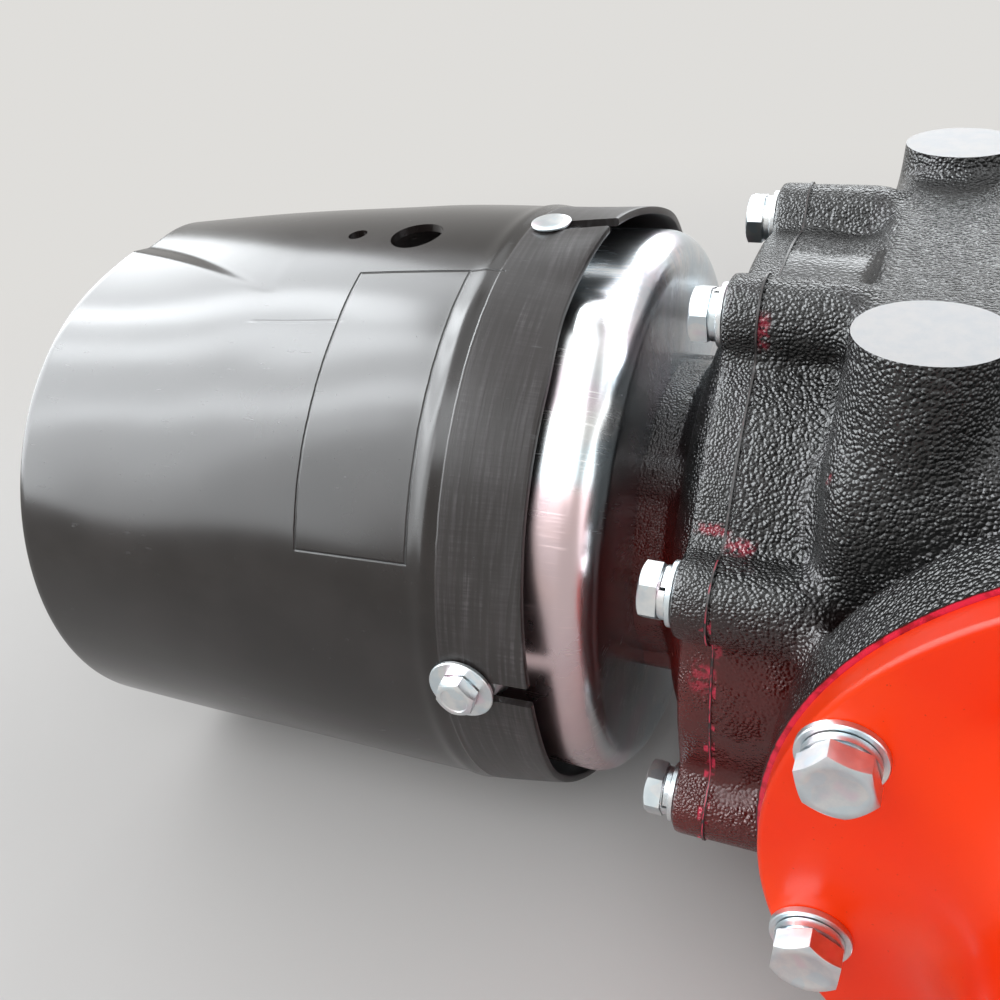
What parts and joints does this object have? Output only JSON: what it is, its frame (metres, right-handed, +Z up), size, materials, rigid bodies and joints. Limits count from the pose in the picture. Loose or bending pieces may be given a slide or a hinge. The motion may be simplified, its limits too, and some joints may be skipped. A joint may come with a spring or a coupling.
{
  "type": "rotavator gearbox with drive shaft guard",
  "caption": "Cast rotavator gearbox: splined input stub inside a slotted plastic guard, round eared covers, cross shaft and two flanged hubs with tube sockets.",
  "frame": {"origin": "centre of the left hub's tube socket at its mouth, on the cross shaft's axis", "axes": "+X out of the left socket along the cross shaft, -Y forward along the input shaft, +Z up"},
  "size_m": [0.43, 0.5853, 0.259],
  "materials": {
    "cast_paint": "rough casting under glossy black paint",
    "gasket": "dark fibre gasket",
    "orange_paint": "glossy orange paint",
    "zinc": "bright zinc plate",
    "black_plastic": "satin black plastic",
    "steel": "machined steel",
    "seal_rubber": "rubber lip seal"
  },
  "bodies": {
    "gearbox": {"housing": "cast_paint", "front_cover": "cast_paint", "front_gasket": "gasket", "rear_cover": "cast_paint", "rear_gasket": "gasket", "left_hub": "orange_paint", "right_hub": "orange_paint", "guard_cup": "zinc", "guard_tube": "black_plastic", "input_seal": "seal_rubber", "left_output_seal": "seal_rubber", "right_output_seal": "seal_rubber", "filler_plug": "zinc", "level_plug": "zinc", "drain_plug": "zinc"},
    "input": {"input_shaft": "steel"},
    "output": {"output_shaft": "steel"}
  },
  "joints": [
    {"name": "output_spin", "type": "hinge", "parent": "gearbox", "child": "output", "pos_m": [-0.215, 0, 0], "axis": [1, 0, 0], "continuous": true},
    {"name": "input_spin", "type": "hinge", "parent": "gearbox", "child": "input", "pos_m": [-0.215, -0.135, 0], "axis": [0, -1, 0], "continuous": true}
  ],
  "couplings": [
    {"joint": "input_spin", "follows": "output_spin", "ratio": 1.9167}
  ]
}
